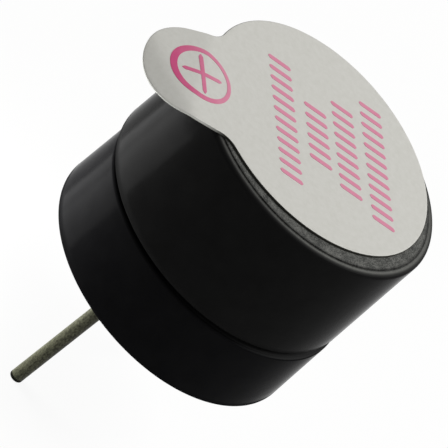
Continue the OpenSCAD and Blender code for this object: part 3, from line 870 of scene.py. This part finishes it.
label_centre = (upper_axis[0] + LABEL_SHIFT * math.cos(LABEL_SHIFT_ANGLE),
                upper_axis[1] + LABEL_SHIFT * math.sin(LABEL_SHIFT_ANGLE))
label_top = top_z + LABEL_THICKNESS
tab_direction = (math.cos(TAB_ANGLE), math.sin(TAB_ANGLE), 0)


def folds(along_tab, across):
    """Each fold's direction in the sheet, the run past its line and the share of its slope reached.

    With w the distance past the line and k its softness,
    run = k ln(1 + exp(w / k)) and share = 1 / (1 + exp(-w / k)).
    """
    for turn, start, softness in zip(FOLD_TURNS, FOLD_STARTS, FOLD_SOFTNESS):
        past = (along_tab * math.cos(turn) + across * math.sin(turn) - start) / softness
        run = softness * np.logaddexp(0, past)
        yield (math.cos(turn), math.sin(turn)), run, np.exp(-np.logaddexp(0, -past))


def sheet_normal(along_tab, across):
    """Unit vector square to the bent sheet.

    Its level part is the sum of the folds' directions, each times its share and the sine it adds.
    """
    lean = sum(np.multiply.outer(share, direction) * sine for (direction, _, share), sine
               in zip(folds(along_tab, across), np.diff(np.sin(FOLD_SLOPES))))
    return np.concatenate([lean, np.sqrt(1 - (lean ** 2).sum(axis=-1, keepdims=True))], axis=-1)


def on_sheet(along_tab, across, lift):
    """Place of a point of the flat sheet, raised by lift square to the bent sheet.

    Each fold lowers the point by its run times the sine that it adds to the slope,
    and draws it in by its run times the cosine that it takes.
    """
    bent = np.stack([along_tab, across, np.full_like(along_tab, label_top)], axis=-1)
    for (direction, run, _), sine, loss in zip(
            folds(along_tab, across), np.diff(np.sin(FOLD_SLOPES)), np.diff(np.cos(FOLD_SLOPES))):
        bent = bent + np.multiply.outer(run, (direction[0] * loss, direction[1] * loss, -sine))
    ahead, aside, z = np.moveaxis(bent + lift[..., None] * sheet_normal(along_tab, across), -1, 0)
    return np.stack([
        label_centre[0] + ahead * math.cos(TAB_ANGLE) - aside * math.sin(TAB_ANGLE),
        label_centre[1] + ahead * math.sin(TAB_ANGLE) + aside * math.cos(TAB_ANGLE), z], axis=-1)


# Each side of the tab is a straight line from its round end that flares to a small neck fillet.
# The fillet's centre lies its radius outside both that line and the disc.
from_line = TAB_REACH * math.sin(TAB_FLARE) + TAB_RADIUS + TAB_FILLET
to_neck = math.sqrt((LABEL_RADIUS + TAB_FILLET) ** 2 - from_line ** 2)
fillet_x = from_line * math.sin(TAB_FLARE) + to_neck * math.cos(TAB_FLARE)
fillet_y = from_line * math.cos(TAB_FLARE) - to_neck * math.sin(TAB_FLARE)
disc_end = math.degrees(math.atan2(fillet_y, fillet_x))
side_turn = 90 - math.degrees(TAB_FLARE)
side_shares = np.linspace(0, 1, TAB_SIDE_STEPS + 1)[1:-1, None]
disc_arc = arc_points((0, 0), LABEL_RADIUS, disc_end, 360 - disc_end, DISC_STEPS)
far_neck = arc_points((fillet_x, -fillet_y), TAB_FILLET, 180 - disc_end, side_turn, NECK_STEPS)
round_end = arc_points((TAB_REACH, 0), TAB_RADIUS, -side_turn, side_turn, TAB_STEPS)
near_neck = arc_points((fillet_x, fillet_y), TAB_FILLET, -side_turn, disc_end - 180, NECK_STEPS)
outline = np.concatenate([
    disc_arc[:-1], far_neck, far_neck[-1] + (round_end[0] - far_neck[-1]) * side_shares,
    round_end, round_end[-1] + (near_neck[0] - round_end[-1]) * side_shares, near_neck[:-1]])

# Rings go out over the lower face, up round the cut edge and back in over the upper face.
# Each is a share of the outline, and lies below the upper face by its part of the thickness.
ring_shares = np.linspace(0, 1, LABEL_RINGS) ** LABEL_RING_SPREAD
edge_shares = 1 - np.array(EDGE_INSETS)[:, None] / np.hypot(outline[:, 0], outline[:, 1])
edge_lifts = -LABEL_THICKNESS * np.array(EDGE_DEPTHS)
label_shares = np.concatenate([
    np.multiply.outer(ring_shares, edge_shares[-1]), edge_shares[::-1][1:],
    np.multiply.outer(ring_shares[::-1], edge_shares[0])])
label_lifts = np.concatenate([
    np.full(LABEL_RINGS, -LABEL_THICKNESS), edge_lifts[::-1][1:], np.zeros(LABEL_RINGS)])
label_points = on_sheet(label_shares * outline[:, 0], label_shares * outline[:, 1],
                        np.broadcast_to(label_lifts[:, None], label_shares.shape))
label_mesh = surface_mesh("label_sheet", label_points)

# Coated paper: a smooth, slightly warm light grey.
# Its fibres are drawn coarser than real ones, so that they show.
paper, tree, shader, place = new_finish("coated_paper", {
    "Roughness": 0.55, "Specular IOR Level": 0.3})
fibre = add_node(tree, "ShaderNodeTexNoise", {
    "Vector": place, "Scale": 1 / (FIBRE_MM * MM), "Detail": 4.0, "Roughness": 0.65})
fibre_tone = add_node(tree, "ShaderNodeValToRGB", {0: fibre.outputs[0]}, (
    (0.3, PAPER_SHADE_HEX), (0.7, PAPER_HEX)))
tree.links.new(shader.inputs["Base Color"], fibre_tone.outputs[0])
fibre_bump = add_node(tree, "ShaderNodeBump", {
    "Height": fibre.outputs[0], "Distance": FIBRE_DEPTH * MM})
tree.links.new(shader.inputs["Normal"], fibre_bump.outputs[0])
add_piece("label_sheet", label_mesh, paper, "seal_paper", "seal_label")

# Die-cut edge: painted shade makes it dark round the disc, for the label's contact shadow on the
# top, and a painted highlight makes it pale on the free tab.
cut_edge, tree, shader, place = new_finish("cut_paper_edge", {
    "Roughness": 0.8, "Specular IOR Level": 0.1})
edge_run = add_node(tree, "ShaderNodeVectorMath", {
    0: place, 1: tab_direction}, operation="DOT_PRODUCT")
centre_run = label_centre[0] * math.cos(TAB_ANGLE) + label_centre[1] * math.sin(TAB_ANGLE)
# Painted light: along the tab the edge goes from painted shade to a painted highlight.
edge_lit = add_node(tree, "ShaderNodeMapRange", {
    "Value": edge_run.outputs["Value"], "From Min": (centre_run + EDGE_LIT_FROM) * MM,
    "From Max": (centre_run + EDGE_LIT_TO) * MM})
edge_lit_tone = add_node(tree, "ShaderNodeValToRGB", {0: edge_lit.outputs[0]}, (
    (0, PAPER_EDGE_SHADE_HEX), (1, PAPER_TAB_EDGE_LIT_HEX)))
tree.links.new(shader.inputs["Base Color"], edge_lit_tone.outputs[0])
label_mesh.materials.append(cut_edge)

# A face belongs to the cut edge where it stands steeply to the bent sheet.
to_tab_frame = np.array([
    [math.cos(TAB_ANGLE), -math.sin(TAB_ANGLE)],
    [math.sin(TAB_ANGLE), math.cos(TAB_ANGLE)]])
face_spots = (face_values(label_mesh, "center")[:, :2] / MM - label_centre) @ to_tab_frame
facing = face_values(label_mesh, "normal")
facing[:, :2] = facing[:, :2] @ to_tab_frame
square_on = (facing * sheet_normal(face_spots[:, 0], face_spots[:, 1])).sum(axis=1)
on_edge = np.abs(square_on) < EDGE_COSINE
label_mesh.polygons.foreach_set("material_index", on_edge.astype(np.int32))


# Label print
# Pink screen-printed ink: a polarity ring with a plus on the tab, four hatched rows on the disc.
# The ink is a thin film that follows the folds, laid on thicker towards the tab's tip.
INK_LIFT = 0.012
INK_SINK = 0.004
INK_HEX = "#c24678"
INK_THIN_HEX = "#d2839c"
INK_DENSE_FROM, INK_DENSE_TO = 4.9, 7.4
INK_PATCH_MM = 0.5
INK_UNEVEN = 0.6
RING_CENTRE = 6.11
RING_ASIDE = -0.15
RING_RADIUS = 1.33
RING_STROKE = 0.25
RING_SWELL = 0.07
RING_STEPS = 120
RING_LINES = 6
PLUS_REACH = (0.95, 1.08)
PLUS_STROKE = 0.20
# Place along the tab's direction and length of each row
ROWS = ((1.85, 6.5), (0.15, 3.4), (-1.35, 5.2), (-2.95, 6.9))
ROW_HEIGHT = 1.15
ROW_PITCH = 0.56
ROW_STROKE = 0.23
ROW_SLANT = 0.20
STROKE_STEPS = 17
STROKE_LINES = 5
STROKE_BLUNTNESS = 0.98


def ink_film(name, along_tab, across, closed_ring=False):
    """Mesh of thin closed films, one for each grid of sheet points.

    Each has an upper face just above the paper and a lower one just inside it.
    """
    upper = on_sheet(along_tab, across, np.full_like(along_tab, INK_LIFT))
    lower = on_sheet(along_tab, across, np.full_like(along_tab, -INK_SINK))
    if not closed_ring:
        upper = np.concatenate([lower[:, :, :1], upper, lower[:, :, -1:]], axis=2)
        lower = np.concatenate([lower[:, :, :1], lower, lower[:, :, -1:]], axis=2)
    films = np.concatenate([lower, upper[:, ::-1]], axis=1)
    meshes = [surface_mesh(name, film, closed_rows=True, closed_columns=closed_ring)
              for film in films]
    joined = bmesh.new()
    for mesh in meshes:
        joined.from_mesh(mesh)
    joined.to_mesh(meshes[0])
    joined.free()
    return meshes[0]


def stroke_grid(length, width, turn, slant=0.0):
    """Grid over a stroke with round ends, turned by an angle and then slanted.

    Its half width is w sqrt(1 - e^2), where e goes from 0 to nearly 1 over each end.
    """
    run = np.linspace(-1, 1, STROKE_STEPS)[:, None] * length / 2
    end = np.clip((np.abs(run) - (length - width) / 2) / (width / 2), 0, STROKE_BLUNTNESS)
    aside = np.linspace(-1, 1, STROKE_LINES)[None, :] * width / 2 * np.sqrt(1 - end ** 2)
    run = np.broadcast_to(run, aside.shape)
    along = run * math.cos(turn) - aside * math.sin(turn)
    return along, run * math.sin(turn) + aside * math.cos(turn) - slant * along


# Screen ink: flat pink, deeper where the film is thick and uneven where it is thin.
ink, tree, shader, place = new_finish("screen_ink", {"Roughness": 0.5, "Specular IOR Level": 0.3})
density = add_node(tree, "ShaderNodeTexNoise", {
    "Vector": place, "Scale": 1 / (INK_PATCH_MM * MM), "Detail": 3.0})
ink_run = add_node(tree, "ShaderNodeVectorMath", {
    0: place, 1: tab_direction}, operation="DOT_PRODUCT")
thinness = add_node(tree, "ShaderNodeMapRange", {
    "Value": ink_run.outputs["Value"], "From Min": (centre_run + INK_DENSE_TO) * MM,
    "From Max": (centre_run + INK_DENSE_FROM) * MM})
uneven = add_node(tree, "ShaderNodeMath", {
    0: density.outputs[0], 1: INK_UNEVEN, 2: -INK_UNEVEN / 2}, operation="MULTIPLY_ADD")
laid_on = add_node(tree, "ShaderNodeMath", {
    0: thinness.outputs[0], 1: uneven.outputs[0]}, operation="ADD")
ink_tone = add_node(tree, "ShaderNodeValToRGB", {0: laid_on.outputs[0]}, (
    (0, INK_HEX), (1, INK_THIN_HEX)))
tree.links.new(shader.inputs["Base Color"], ink_tone.outputs[0])

ring_angle = np.linspace(0, 2 * np.pi, RING_STEPS, endpoint=False)[None, :]
ring_stroke = RING_STROKE + RING_SWELL * np.cos(ring_angle)
ring_out = RING_RADIUS + np.linspace(-0.5, 0.5, RING_LINES)[:, None] * ring_stroke
ring_along = RING_CENTRE + ring_out * np.cos(ring_angle)
ring_across = RING_ASIDE + ring_out * np.sin(ring_angle)
ring_film = ink_film("print_ring", ring_along[None], ring_across[None], closed_ring=True)
add_piece("print_ring", ring_film, ink, "seal_paper")

plus_arms = [stroke_grid(2 * arm, PLUS_STROKE, turn)
             for arm, turn in zip(PLUS_REACH, (0, math.pi / 2))]
plus_along, plus_across = np.stack(plus_arms, axis=1)
plus_film = ink_film("print_plus", RING_CENTRE + plus_along, RING_ASIDE + plus_across)
add_piece("print_plus", plus_film, ink, "seal_paper")

mark_along, mark_across = stroke_grid(ROW_HEIGHT, ROW_STROKE, 0, ROW_SLANT)
for number, (row_place, row_length) in enumerate(ROWS, start=1):
    count = round(row_length / ROW_PITCH)
    mark_places = (np.arange(count) - (count - 1) / 2) * ROW_PITCH
    row_along = np.broadcast_to(row_place + mark_along, (count, *mark_along.shape))
    row_film = ink_film(
        f"print_row_{number}", row_along, mark_places[:, None, None] + mark_across)
    add_piece(f"print_row_{number}", row_film, ink, "seal_paper")
